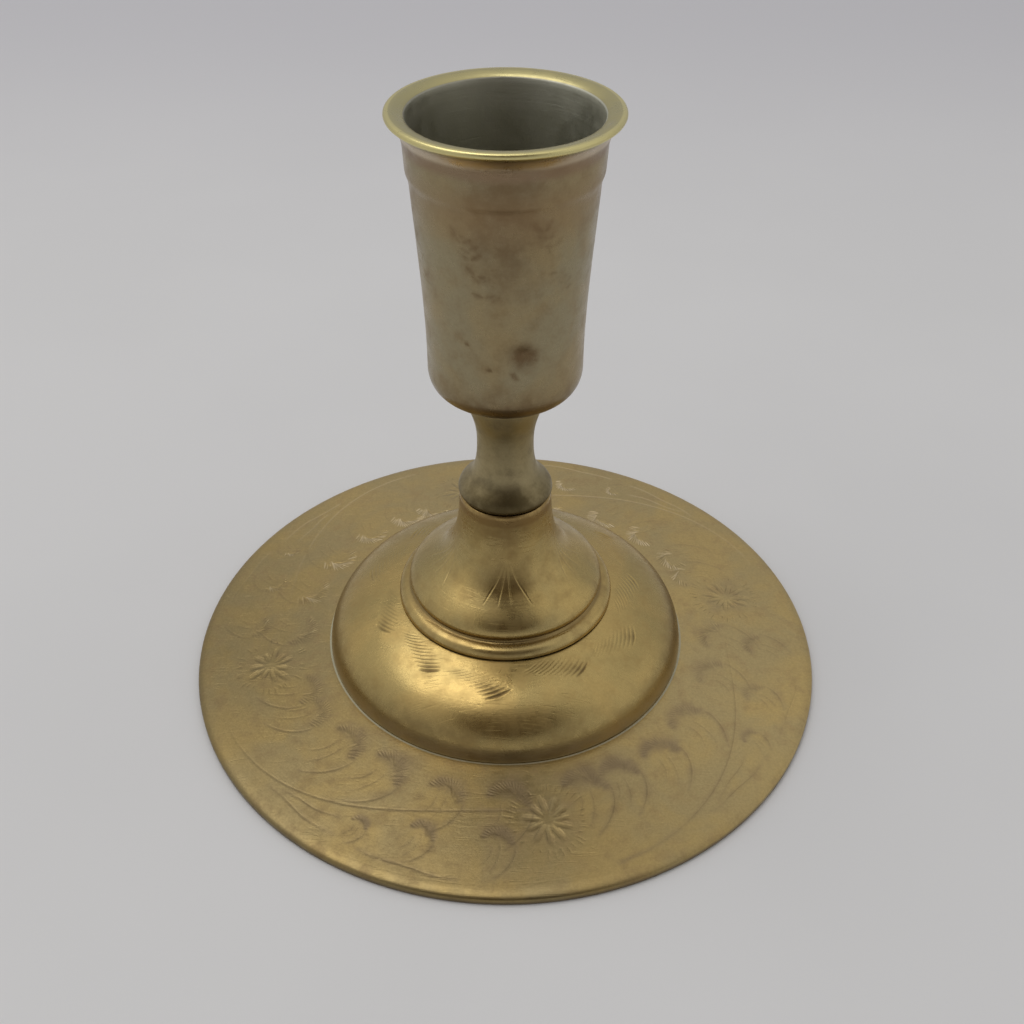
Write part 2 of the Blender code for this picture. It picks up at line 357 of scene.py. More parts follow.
def place(piece, node, body, slot, material):
    """Link a finished piece and put it in its CAD node's place."""
    link(piece)
    piece.data.materials.append(material)
    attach(piece, body)
    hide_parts(node)
    return piece


def in_front(angle, reach):
    """1 where a surface faces the front (-Y), falling off with a reach in radians."""
    return np.exp(-(np.angle(np.exp(1j * (angle + math.pi / 2))) / reach) ** 2)


def wander(at, seed, size):
    """Slow unevenness of hand-spun metal, in millimetres."""
    dice = np.random.default_rng(seed)
    total = np.zeros_like(at.angle)
    for _ in range(6):
        lobes = int(dice.integers(1, 6))
        waves = int(dice.integers(1, 7))
        phase = dice.uniform(0, FULL_TURN, 2)
        total += (np.sin(lobes * at.angle + phase[0])
                  * np.sin(waves * FULL_TURN * at.share + phase[1]))
    return size * total / 3


def unevenness(seed, size, fade=(0.0, 0.1), last=1.0):
    """A shape for turned(): a wander that grows over a range of radii.

    It ends at the share of the outline that last gives.
    """
    def shape(at):
        return wander(at, seed, size) * ramp(at.radius, *fade) * (at.share < last)
    return shape


# ---- material nodes

MIX_A, MIX_B, MIX_RESULT = 6, 7, 2      # colour sockets of the Mix node
BROAD, MIDDLE, GRAIN, RINGS = 70.0, 330.0, 2400.0, 2600.0   # brass noises, in cells a metre


class Nodes:
    """Short calls for building a material's node tree."""

    def __init__(self, tree):
        self.tree = tree

    def add(self, kind, inputs=(), **settings):
        """A shader node with its settings and inputs; an input is a value or an output."""
        made = self.tree.nodes.new("ShaderNode" + kind)
        for name, value in settings.items():
            setattr(made, name, value)
        for key, value in dict(inputs).items():
            self.put(made.inputs[key], value)
        return made

    def put(self, socket, value):
        """Link an output, or set a plain value."""
        if isinstance(value, bpy.types.NodeSocket):
            self.tree.links.new(value, socket)
        else:
            socket.default_value = value

    def feed(self, shader, inputs):
        """Give the tree's own shader its inputs."""
        for name, value in inputs.items():
            self.put(self.tree.nodes[shader].inputs[name], value)

    def math(self, operation, a, b=0.0, clamp=False):
        return self.add("Math", {0: a, 1: b}, operation=operation, use_clamp=clamp).outputs[0]

    def times(self, a, b):
        return self.math("MULTIPLY", a, b)

    def plus(self, a, b, clamp=False):
        return self.math("ADD", a, b, clamp)

    def minus(self, a, b, clamp=False):
        return self.math("SUBTRACT", a, b, clamp)

    def spread(self, value, low, high, to_low=0.0, to_high=1.0):
        """Map a range of a value smoothly to another range."""
        made = self.add("MapRange", {
            "Value": value, "From Min": low, "From Max": high, "To Min": to_low,
            "To Max": to_high}, interpolation_type="SMOOTHSTEP")
        return made.outputs["Result"]

    def mix(self, factor, a, b, blend="MIX"):
        """Mix two colours."""
        a, b = ((*c, 1.0) if isinstance(c, tuple) else c for c in (a, b))
        made = self.add("Mix", data_type="RGBA", blend_type=blend)
        self.put(made.inputs[0], factor)
        self.put(made.inputs[MIX_A], a)
        self.put(made.inputs[MIX_B], b)
        return made.outputs[MIX_RESULT]

    def grey(self, value):
        """A colour with the same value in each channel."""
        return self.add("CombineColor", {0: value, 1: value, 2: value}).outputs[0]

    def noise(self, vector, scale, detail=4.0, roughness=0.55, distortion=0.0):
        made = self.add("TexNoise", {
            "Vector": vector, "Scale": scale, "Detail": detail, "Roughness": roughness,
            "Distortion": distortion})
        return made.outputs["Fac"]

    def attribute(self, name):
        return self.add("Attribute", attribute_name=name).outputs["Fac"]

    def vector(self, operation, a, b):
        return self.add("VectorMath", {0: a, 1: b}, operation=operation).outputs[0]

    def dot(self, a, b):
        return self.add("VectorMath", {0: a, 1: b}, operation="DOT_PRODUCT").outputs["Value"]

    def bump(self, height, strength, distance):
        inputs = {"Height": height, "Strength": strength, "Distance": distance}
        return self.add("Bump", inputs).outputs[0]

    def space(self):
        """The place in the object's own space, which is the shared frame, in metres."""
        return self.add("TexCoord").outputs["Object"]

    def part(self, vector, axis):
        return self.add("SeparateXYZ", {0: vector}).outputs[axis]


def new_material(name):
    """A material, and the calls that build its nodes."""
    material = bpy.data.materials.new(name)
    material.use_nodes = True
    return material, Nodes(material.node_tree)


def surface_places(nodes, wall_radius):
    """Place in space, distance from the axis, height, and a flat unrolled place."""
    space = nodes.space()
    x, y, z = nodes.add("SeparateXYZ", {0: space}).outputs
    flat = nodes.add("CombineXYZ", {"X": x, "Y": y}).outputs[0]
    radius = nodes.add("VectorMath", {0: flat}, operation="LENGTH").outputs["Value"]
    if not wall_radius:
        return space, radius, z, flat
    turn = nodes.math("ARCTAN2", x, nodes.times(y, -1.0))
    around = nodes.times(turn, wall_radius * MM)
    unrolled = nodes.add("CombineXYZ", {"X": around, "Y": z}).outputs[0]
    return space, radius, z, unrolled


def scratches(nodes, unrolled, angle, density, seed):
    """Fine straight scratches in one direction, 1 on the scratch and 0 off it."""
    way = nodes.add("Mapping", {
        "Vector": unrolled, "Location": (seed * 0.37, seed * 0.11, 0.0),
        "Rotation": (0.0, 0.0, math.radians(angle)),
        "Scale": (density * 0.06, density, 1.0)}).outputs[0]
    wave = nodes.noise(way, 1.0, detail=1.0)
    off = nodes.math("ABSOLUTE", nodes.minus(wave, 0.5))
    thin = nodes.spread(off, 0.0, 0.012, 1.0, 0.0)
    patch = nodes.noise(unrolled, 160.0 + 30 * seed, detail=2.0)
    return nodes.times(thin, nodes.spread(patch, 0.5, 0.62))


def brass(name, gold, olive, brown, roughness, wall_radius=0.0, tarnish=0.4, rings=0.3,
          scratch=0.25, groove=(0.06, 0.045, 0.02), stain_and_shade=None, rub=0.0, uneven=0.08,
          speck=0.05, extra=None):
    """Aged brass: mottled tarnish, turning marks, scratches, dark cuts and rubbed edges.

    extra(nodes, colour, rough, radius, height) gives the colour, roughness and metal of a
    piece with tones of its own. wall_radius is in millimetres, 0 for a flat piece.
    """
    material, nodes = new_material(name)
    space, radius, height, unrolled = surface_places(nodes, wall_radius)
    broad = nodes.noise(space, BROAD, detail=3.0, roughness=0.6, distortion=0.4)
    middle = nodes.noise(space, MIDDLE, detail=5.0, roughness=0.65)
    grain = nodes.noise(space, GRAIN, detail=3.0, roughness=0.7)
    cut = nodes.attribute("cut")
    edge = nodes.attribute("edge")
    tone = nodes.attribute("tone")

    colour = nodes.mix(nodes.spread(broad, 0.36, 0.64), gold, olive)
    stain = nodes.times(nodes.spread(middle, 0.46, 0.72), tarnish)
    colour = nodes.mix(stain, colour, brown)
    speckle = nodes.grey(nodes.spread(grain, 0.3, 0.7, 1.0 - speck, 1.0 + speck))
    colour = nodes.mix(1.0, colour, speckle, "MULTIPLY")
    # Concave corners are darkened towards the groove colour: painted shade, with some tarnish.
    hollow = nodes.spread(edge, -0.05, -0.7)
    colour = nodes.mix(nodes.times(hollow, 0.6), colour, groove)
    # The tone attribute darkens the colour: real stains along the engraving, and painted shade from
    # each piece's darken function.
    ragged = nodes.times(tone, nodes.spread(middle, 0.3, 0.62, 0.75, 1.1))
    colour = nodes.mix(nodes.spread(ragged, 0.0, 1.0), colour, stain_and_shade or brown)
    # A tone below zero lightens towards a paler gold: painted glints and highlights along cuts,
    # together with the brightness of cut metal.
    bright_cut_and_glint = tuple(0.2 + 1.1 * g for g in gold)
    colour = nodes.mix(nodes.spread(tone, 0.0, -1.0), colour, bright_cut_and_glint)
    rubbed = nodes.times(nodes.spread(edge, 0.1, 0.8), nodes.spread(middle, 0.62, 0.4))
    bright = tuple(min(1.0, g * 1.35) for g in gold)
    colour = nodes.mix(nodes.times(rubbed, rub), colour, bright)
    colour = nodes.mix(nodes.times(nodes.spread(cut, 0.1, 0.8), 0.75), colour, groove)

    rough = nodes.spread(middle, 0.3, 0.75, roughness - 0.06, roughness + 0.1)
    rough = nodes.plus(rough, nodes.times(cut, 0.12))
    rough = nodes.minus(rough, nodes.times(rubbed, 0.16 * rub), clamp=True)

    ring_place = nodes.add("CombineXYZ", {"X": radius, "Y": height}).outputs[0]
    wobble = nodes.vector("MULTIPLY", space, (0.03, 0.03, 0.0))
    ring = nodes.noise(nodes.vector("ADD", ring_place, wobble), RINGS, detail=3.0, roughness=0.6)
    marks = 0.0
    for seed, (angle, density) in enumerate(((24.0, 620.0), (118.0, 540.0), (71.0, 800.0)), 1):
        marks = nodes.plus(marks, scratches(nodes, unrolled, angle, density, seed))
    relief = 0.0
    for pattern, amount in ((ring, rings), (marks, -scratch), (grain, 0.35), (middle, uneven)):
        relief = nodes.plus(relief, nodes.times(pattern, amount))

    metallic = 1.0
    if extra is not None:
        colour, rough, metallic = extra(nodes, colour, rough, radius, height)
    nodes.feed("Principled BSDF", {"Base Color": colour, "Roughness": rough,
                                   "Metallic": metallic,
                                   "Normal": nodes.bump(relief, 0.35, 0.12 * MM)})
    return material


# ---- the pieces

def make_plate():
    """The engraved base plate with its rolled rim, shallow cone and pressed-up centre."""
    boss_side = curve((10.8, PLATE_BOSS), (14.4, PLATE_BOSS), (14.6, CREST), (20.0, CREST), 10)
    ledge = [(DOME_RADIUS + step, CREST) for step in (-0.8, 0.0, 0.15, 0.3, 0.45)]
    boss_under = curve((21.0, CREST - SHEET), (13.2, CREST - SHEET), (13.6, PLATE_BOSS - SHEET),
                       (10.0, PLATE_BOSS - SHEET), 10)
    inner = DOME_RADIUS + 0.8
    band_start = (inner, CREST)
    rim = PLATE_RADIUS
    edge = curve((rim - 2.4, 1.76), (rim - 0.9, 1.66), (rim, 1.45), (rim, 0.85), 14)
    outline = joined(
        [(STUD_HOLE, PLATE_BOSS), (STUD_HOLE + 0.3, PLATE_BOSS)],
        boss_side,
        line((20.0, CREST), (31.0, CREST), 3),
        ledge,
        [band_start],
        line(band_start, edge[0], 34),
        edge,
        [(rim, 0.3)],
        arc((rim - 0.3, 0.3), 0.3, 0, -90, 4),
        [(rim - 3.2, 0.0), (rim - 3.8, 0.5)],
        line((rim - 3.8, 0.5), (inner, CREST - SHEET), 4),
        boss_under,
        [(STUD_HOLE, PLATE_BOSS - SHEET)])
    relief = Relief(run_to(outline, band_start), 22.0, [inner, rim - 1.8])
    engrave_plate(relief, inner)
    top_share = run_to(outline, edge[0]) / run_to(outline, outline[-1])

    def warp(at):
        fade = ramp(at.radius, 24, 32) * ramp(at.radius, rim - 0.4, rim - 3.4)
        return wander(at, 3, 0.035) * fade * (at.share < top_share)

    # Painted shade on the lower part of the rim's side.
    def rim_painted_shade(at):
        return 0.95 * ramp(at.radius, rim - 0.2, rim) * ramp(at.height, 0.95, 0.6)

    def polish(at):
        past_dome = at.radius - DOME_RADIUS
        ring = ramp(past_dome, 0.02, 0.12) * ramp(past_dome, 0.45, 0.3)
        return ring * (0.5 + 0.5 * np.abs(np.cos(at.angle))) * (at.share < top_share)

    material = brass("plate_brass", gold=(0.475, 0.35, 0.145), olive=(0.42, 0.325, 0.155),
                     brown=(0.34, 0.24, 0.12), roughness=0.36, tarnish=0.45,
                     stain_and_shade=(0.29, 0.217, 0.122), groove=(0.12, 0.09, 0.045), uneven=0.1,
                     speck=0.07, extra=plate_tones)
    turned("base_plate", outline, 376, "foot", "plate_brass", material, relief=relief,
           shape=warp, darken=rim_painted_shade, mark=polish)


def plate_tones(nodes, colour, rough, radius, height):
    """Pale dried polish against the dome's edge, painted shade on the rim's side, and painted
    shading: darker front left, lighter back right.
    """
    # Painted shading: the plate is darker towards the front left and lighter towards the back
    # right, as the light falls.
    front_left = nodes.dot(nodes.space(), (-0.64, -0.77, 0.0))
    painted_shading = nodes.grey(nodes.spread(front_left, -20 * MM, 50 * MM, 1.1, 0.64))
    colour = nodes.mix(1.0, colour, painted_shading, "MULTIPLY")
    # The rim's side is darkened further: painted shade.
    outer = nodes.spread(radius, (PLATE_RADIUS - 0.3) * MM, (PLATE_RADIUS - 0.1) * MM)
    side = nodes.times(outer, nodes.spread(height, 1.2 * MM, 0.8 * MM))
    colour = nodes.mix(nodes.times(side, 0.2), colour, (0.16, 0.125, 0.06))
    polish = nodes.attribute("mark")
    colour = nodes.mix(nodes.times(polish, 0.85), colour, (0.50, 0.50, 0.38))
    rough = nodes.plus(rough, nodes.times(polish, 0.25), clamp=True)
    return colour, rough, nodes.minus(1.0, nodes.times(polish, 0.7))


class Motif:
    """A motif on a relief band, drawn in millimetres round one place of the band.

    x runs with the angle, and y runs with the outline, away from the start of the band.
    """

    def __init__(self, relief, angle, distance):
        self.relief = relief
        self.angle = angle
        self.distance = distance

    def places(self, points):
        """Places on the band of points of the motif."""
        points = np.array(points, float)
        run = self.distance + points[:, 1]
        row = np.clip((run / self.relief.pitch).astype(int), 0, self.relief.rows - 1)
        return np.column_stack([self.angle + np.degrees(points[:, 0] / self.relief.radius[row]),
                                run])

    def cut(self, points, *sizes, **more):
        self.relief.cut(self.places(points), *sizes, **more)

    def stain(self, points, *sizes, **more):
        self.relief.stain(self.places(points), *sizes, **more)


def spun(points, degrees, scale=1.0):
    """Points turned about their origin and scaled."""
    a = math.radians(degrees)
    turn = np.array([[math.cos(a), math.sin(a)], [-math.sin(a), math.cos(a)]])
    return np.array(points, float) @ turn * scale


def engrave_flower(motif, dice):
    """A flower of broad petals, most lit by painted highlights, with bundles of short dashes round
    it.
    """
    petals = 11
    for i in range(petals):
        way = 360 * i / petals + dice.uniform(-6, 6)
        reach = dice.uniform(3.4, 5.2)
        petal = spun(curve((0.9, 0), (2.0, 0.15), (3.0, -0.1), (reach, 0), 5), way)
        motif.cut(petal, 1.2, 0.08, swell=0.9, dirt=0.0)
        # Painted highlights on most petals, a few slightly darker.
        motif.stain(petal, 0.8, dice.uniform(-0.25, 0.1))
        for off in (-0.45, 0.45):
            motif.cut(petal + spun([(0, off)], way), 0.3, 0.05, dirt=0.55)
        for side in (-15, -5, 5, 15):
            if dice.random() < 0.6:
                dash = spun(line((5.2, 0), (6.8 + dice.uniform(-0.7, 0.7), 0), 2), way + side)
                motif.cut(dash, 0.26, 0.04, dirt=0.6)
    motif.stain(arc((0, 0), 3.4, 0, 360, 30), 5.0, 0.3, taper=0)


def engrave_leaf(motif, size, lean, dice):
    """A hooked leaf: a broad hatched arch, a long thin tail, and veins beside the tail.

    On the far side of the plate the hatch strokes are cut deeper, the soft stains are lighter, and
    painted glints lie between the strokes.
    """
    far = 0.5 + 0.5 * math.sin(math.radians(motif.angle))
    arch = np.array(curve((-0.50, -0.30), (-0.20, -0.72), (0.50, -0.60), (0.42, 0.10), 14))
    tail = np.array(curve((0.42, 0.10), (0.40, 0.46), (0.14, 0.78), (-0.36, 1.0), 12))
    arch, tail = (spun(stretch, lean, size) for stretch in (arch, tail))
    run = runs(arch)

    def on_arch(at):
        return np.array([np.interp(at, run, arch[:, k]) for k in (0, 1)])

    motif.cut(tail, 0.4, 0.035, burr=0.1, dirt=0.5 - 0.3 * far)
    motif.stain(tail, 1.6, 0.42 * (1 - 0.5 * far))
    middle = []
    for at in np.arange(0.02 * run[-1], 0.99 * run[-1], 0.6):
        way = on_arch(at + 0.2) - on_arch(at - 0.2)
        way /= max(np.hypot(*way), 1e-6)
        inward = np.array([-way[1], way[0]])
        length = size * (0.20 + 0.22 * math.sin(math.pi * at / run[-1])) * dice.uniform(0.75, 1.15)
        start = on_arch(at)
        end = start + (inward * 0.9 + way * 0.35) * length
        bow = (start + end) / 2 - way * 0.06
        motif.cut([start, bow, end], 0.34, 0.035 + 0.045 * far, burr=0.2,
                  dirt=dice.uniform(0.15, 0.35) + 0.3 * far)
        # Painted glints beside the hatch strokes on the far side.
        if dice.random() < 1.3 * far - 0.15:
            gap = [start + way * 0.3, end + way * 0.3]
            motif.stain(gap, 0.36, -dice.uniform(0.5, 1.1) * far)
        middle.append(start + (end - start) * 0.5)
    strength = dice.uniform(0.66, 0.86) * (1 - 0.85 * far)
    motif.stain(middle, 0.58 * size, strength)
    for shift, reach in ((0.30, 0.62), (0.52, 0.40)):
        vein = curve((0.30 - shift, -0.05), (0.28 - shift, 0.25),
                     (0.16 - shift, 0.20 + 0.5 * reach), (-0.10 - shift, 0.15 + reach), 8)
        vein = spun(vein, lean, size)
        motif.cut(vein, 0.32, 0.025, burr=0.1, dirt=0.4)
        motif.stain(vein, 1.1, 0.3 * (1 - far))


def engrave_vine(relief, angles, radius, inner, width, dice):
    """A long curved stem: a soft brown line at the front, and a painted glint along it at the back.
    """
    sway = 0.2 * np.sin(np.linspace(0, 9, len(angles)) + dice.uniform(0, 6))
    places = np.column_stack([angles, radius + sway - inner])
    far = 0.5 + 0.5 * np.sin(np.radians(places[:, 0]))
    relief.cut(places, width, 0.035, swell=0.7, burr=0.1, dirt=0.5 - 0.3 * far.mean())
    # Darker along the front, and a painted glint along the back.
    for first, back in enumerate(far[:-1]):
        relief.stain(places[first:first + 2], 1.2 - 0.85 * back, 0.5 - back, taper=0)


def engrave_plate(relief, inner):
    """Four flowers joined by vines, with hooked leaves on both sides of each vine."""
    dice = np.random.default_rng(11)
    for flower in (12, 102, 192, 279):
        engrave_flower(Motif(relief, flower, 43.8 - inner), dice)
        share = np.linspace(0, 1, 26)
        radius = 53.7 - 12.4 * np.sin(1.65 * share) ** 2
        engrave_vine(relief, flower + 10 + 74 * share, radius, inner, 0.40, dice)
        for start, end, first, last in ((30, 47, 52.9, 53.3), (33, 46, 51.9, 50.2),
                                        (52, 70, 53.4, 54.2)):
            engrave_vine(relief, flower + np.linspace(start, end, 8),
                         np.linspace(first, last, 8), inner, 0.30, dice)
        for at in (11, 20, 33, 47, 64, 79):
            motif = Motif(relief, flower + at + dice.uniform(-1, 1),
                          39.8 - inner + dice.uniform(-0.5, 0.5))
            engrave_leaf(motif, 7.6 + dice.uniform(-0.6, 0.7), dice.uniform(-12, 4), dice)
        for at, out, size in ((50, 49.8, 3.6), (62, 47.8, 5.2), (77, 47.4, 5.8)):
            engrave_leaf(Motif(relief, flower + at, out - inner), size, dice.uniform(-14, 2), dice)


def make_dome():
    """The spun dome with its engraved leaf marks."""
    crown_inside = DOME_CROWN - DOME_SHEET
    shoulder = (BELL_RADIUS, DOME_CROWN)
    foot = CREST + 0.04
    outline = joined(
        [(STUD_HOLE, DOME_CROWN)],
        line((STUD_HOLE, DOME_CROWN), shoulder, 8),
        curve(shoulder, (26.0, 12.6), (31.9, 10.2), (DOME_RADIUS, DOME_FOOT + 0.15), 48),
        [(DOME_RADIUS, foot + 0.1), (DOME_RADIUS - 0.1, foot)],
        curve((DOME_RADIUS - DOME_SHEET, foot), (30.9, 9.2), (25.2, 11.5),
              (18.8, crown_inside), 14),
        [(STUD_HOLE, crown_inside)])
    relief = Relief(run_to(outline, shoulder), 18.0, [19.2, 21.5, 24, 26.5, 29, 31.2, 32.4])
    dice = np.random.default_rng(23)
    for feather in range(11):
        angle = 227 + 360 * feather / 11 + dice.uniform(-1.5, 1.5)
        engrave_feather(Motif(relief, angle, 3.2 + 1.5 * (feather % 2)), dice)

    # Painted shade: a dark reflection on the dome's lower band, strongest at the sides.
    def foot_painted_shade(at):
        slow = 0.7 + 0.3 * np.sin(3 * at.angle + 1.0)
        band = ramp(at.height, 11.0, 8.0) * ramp(at.height, 4.6, 6.2)
        sides = 0.25 + 0.55 * np.abs(np.cos(at.angle))
        return sides * band * slow * (at.share < 0.62)

    material = brass("dome_brass", gold=(0.53, 0.38, 0.143), olive=(0.46, 0.345, 0.137),
                     brown=(0.36, 0.24, 0.09), roughness=0.29, tarnish=0.35, uneven=0.06,
                     stain_and_shade=(0.23, 0.165, 0.07), groove=(0.09, 0.055, 0.025),
                     extra=dome_tones)
    turned("dome", outline, 240, "foot", "dome_brass", material, relief=relief,
           shape=unevenness(5, 0.03, fade=(19.5, 22.5), last=0.5), darken=foot_painted_shade)


def dome_tones(nodes, colour, rough, radius, height):
    """A paler, duller foot, where polish has dried on."""
    foot = nodes.spread(height, 6.8 * MM, 4.2 * MM)
    colour = nodes.mix(nodes.times(foot, 0.6), colour, (0.47, 0.40, 0.28))
    return colour, nodes.plus(rough, nodes.times(foot, 0.1), clamp=True), 1.0


def engrave_feather(motif, dice):
    """A feather of long slanting strokes that lie side by side, darker towards one end.

    The feathers nearer the front are darker.
    """
    dark = 0.4 + 0.6 * max(0.0, math.cos(math.radians(motif.angle - 255)))
    strokes = 11
    slant = np.array([math.cos(math.radians(26)), -math.sin(math.radians(26))])
    middles = curve((-4.2, -1.6), (-1.6, -1.3), (1.6, -0.4), (3.8, 1.6), strokes - 1)
    for i, middle in enumerate(middles):
        share = i / (strokes - 1)
        length = (3.9 + 1.1 * math.sin(math.pi * share)) * dice.uniform(0.8, 1.15)
        start = np.array(middle) - slant * length / 2
        end = np.array(middle) + slant * length / 2
        bow = (start + end) / 2 + (0.0, 0.18)
        motif.cut([start, bow, end], 0.36 + 0.26 * share ** 5, 0.045 + 0.045 * share ** 5,
                  burr=0.4, dirt=dark * (0.25 + 0.65 * share ** 3))
    motif.stain(middles, 3.6, 0.34 * dark)
    motif.stain(middles[-3:], 1.8, 0.5 * dark)


def make_bell():
    """The trumpet-shaped bell: flank, rounded shoulder, groove and bead."""
    web = BELL_TOP - 5.2
    flank_top = (7.86, BELL_TOP - 0.7)
    outline = joined(
        [(7.0, BELL_TOP), (7.4, BELL_TOP - 0.02)],
        curve((7.4, BELL_TOP - 0.02), (7.7, BELL_TOP - 0.08), (7.82, BELL_TOP - 0.3), flank_top, 5),
        curve(flank_top, (8.1, 30.5), (8.5, 25.6), (12.0, 22.7), 36),
        curve((12.0, 22.7), (14.4, 20.8), (16.9, 19.6), (17.2, 17.8), 18),
        curve((17.2, 17.8), (17.25, 17.3), (16.9, 17.05), (16.8, 16.75), 6),
        curve((16.8, 16.75), (16.7, 16.35), (17.1, 16.15), (17.6, 16.1), 7),
        curve((17.6, 16.1), (18.7, 15.95), (BELL_RADIUS, 15.3), (BELL_RADIUS, BELL_FOOT), 10),
        curve((15.0, BELL_FOOT), (14.6, 17.6), (6.6, 21.6), (5.6, 28.4), 14),
        [(4.4, web), (STUD_HOLE, web), (STUD_HOLE, BELL_TOP), (3.2, BELL_TOP)])
    relief = Relief(run_to(outline, flank_top), 24.0, [7.9, 8.1, 8.3, 8.8, 9.8, 12.0, 14.6, 17.0])
    for petal in range(5):
        motif = Motif(relief, 272 + 72 * petal, 12.6)
        for lean in (-3.6, -1.5, 0.5, 3.4):
            stroke = curve((lean * 0.1, -4.4), (lean * 0.3, -1.6), (lean * 0.7, 1.2),
                           (lean, 3.4), 8)
            motif.cut(stroke, 0.30, 0.045, dirt=0.1)
            motif.stain(stroke, 0.4, -0.15)

    outer_share = 0.45

    # Painted shade: darker in the groove under the shoulder and up towards the seam with the neck,
    # and a painted dark reflection on the flank where it faces the front.
    def bell_painted_shade(at):
        low = ramp(at.height, 17.9, 17.4) * ramp(at.height, 15.6, 16.1)
        seam = ramp(at.height, 30, 34) * 0.35 + ramp(at.height, 34.1, 34.5) * 0.5
        front_reflection = ramp(at.height, 20.5, 23.5) * ramp(at.height, 37, 31) * in_front(at.angle, 0.6)
        return (0.4 * low + seam + 0.45 * front_reflection) * (at.share < outer_share)

    material = brass("bell_brass", gold=(0.515, 0.375, 0.142), olive=(0.43, 0.33, 0.14),
                     brown=(0.30, 0.20, 0.08), roughness=0.29, wall_radius=10.0,
                     groove=(0.16, 0.11, 0.05), rub=0.2)
    turned("bell", outline, 200, "foot", "bell_brass", material, relief=relief,
           shape=unevenness(9, 0.02, last=outer_share), darken=bell_painted_shade)


def make_neck():
    """The neck: flared top, narrow waist and knop."""
    waist = (4.7, 46.9)
    flare_top = (6.5, NECK_TOP - 0.15)
    knop_side = (KNOP_RADIUS, NECK_FOOT + 0.7)
    outline = joined(
        [(0.0, CUP_FLOOR - 10.9), (SCREW_HOLE, CUP_FLOOR - 10.9), (SCREW_HOLE, NECK_TOP - 0.3)],
        [(SCREW_HOLE + 0.3, NECK_TOP), (6.35, NECK_TOP), flare_top],
        curve(flare_top, (6.2, 53.0), (4.7, 51.4), waist, 30),
        curve(waist, (4.7, 43.7), (5.0, 41.6), (6.0, 40.2), 24),
        curve((6.0, 40.2), (6.9, 39.1), (7.9, 38.6), knop_side, 16),
        curve(knop_side, (KNOP_RADIUS, NECK_FOOT + 0.35), (7.8, NECK_FOOT), (7.45, NECK_FOOT), 8),
        [(STUD_HOLE + 0.3, NECK_FOOT), (STUD_HOLE, NECK_FOOT + 0.3)],
        [(STUD_HOLE, STUD_TOP + 0.7), (0.0, STUD_TOP + 0.7)])

    # Painted shade: the knop is darkened, most where it faces the front, standing in for a dark
    # reflection, and shade is painted at the seam with the bell.
    def knop_painted_shade(at):
        seam = ramp(at.height, NECK_FOOT + 0.9, NECK_FOOT + 0.4)
        low = ramp(at.height, 42, 39)
        return (0.35 + 0.65 * in_front(at.angle, 0.9)) * low + 0.4 * seam

    material = brass("neck_brass", gold=(0.405, 0.33, 0.178), olive=(0.345, 0.286, 0.155),
                     brown=(0.21, 0.17, 0.10), roughness=0.46, wall_radius=7.0, tarnish=0.5,
                     rings=0.4, scratch=0.2, stain_and_shade=(0.122, 0.092, 0.042))
    turned("neck", outline, 144, "top", "neck_brass", material, closed=False,
           shape=unevenness(13, 0.015, fade=(3.5, 4.5)), darken=knop_painted_shade)


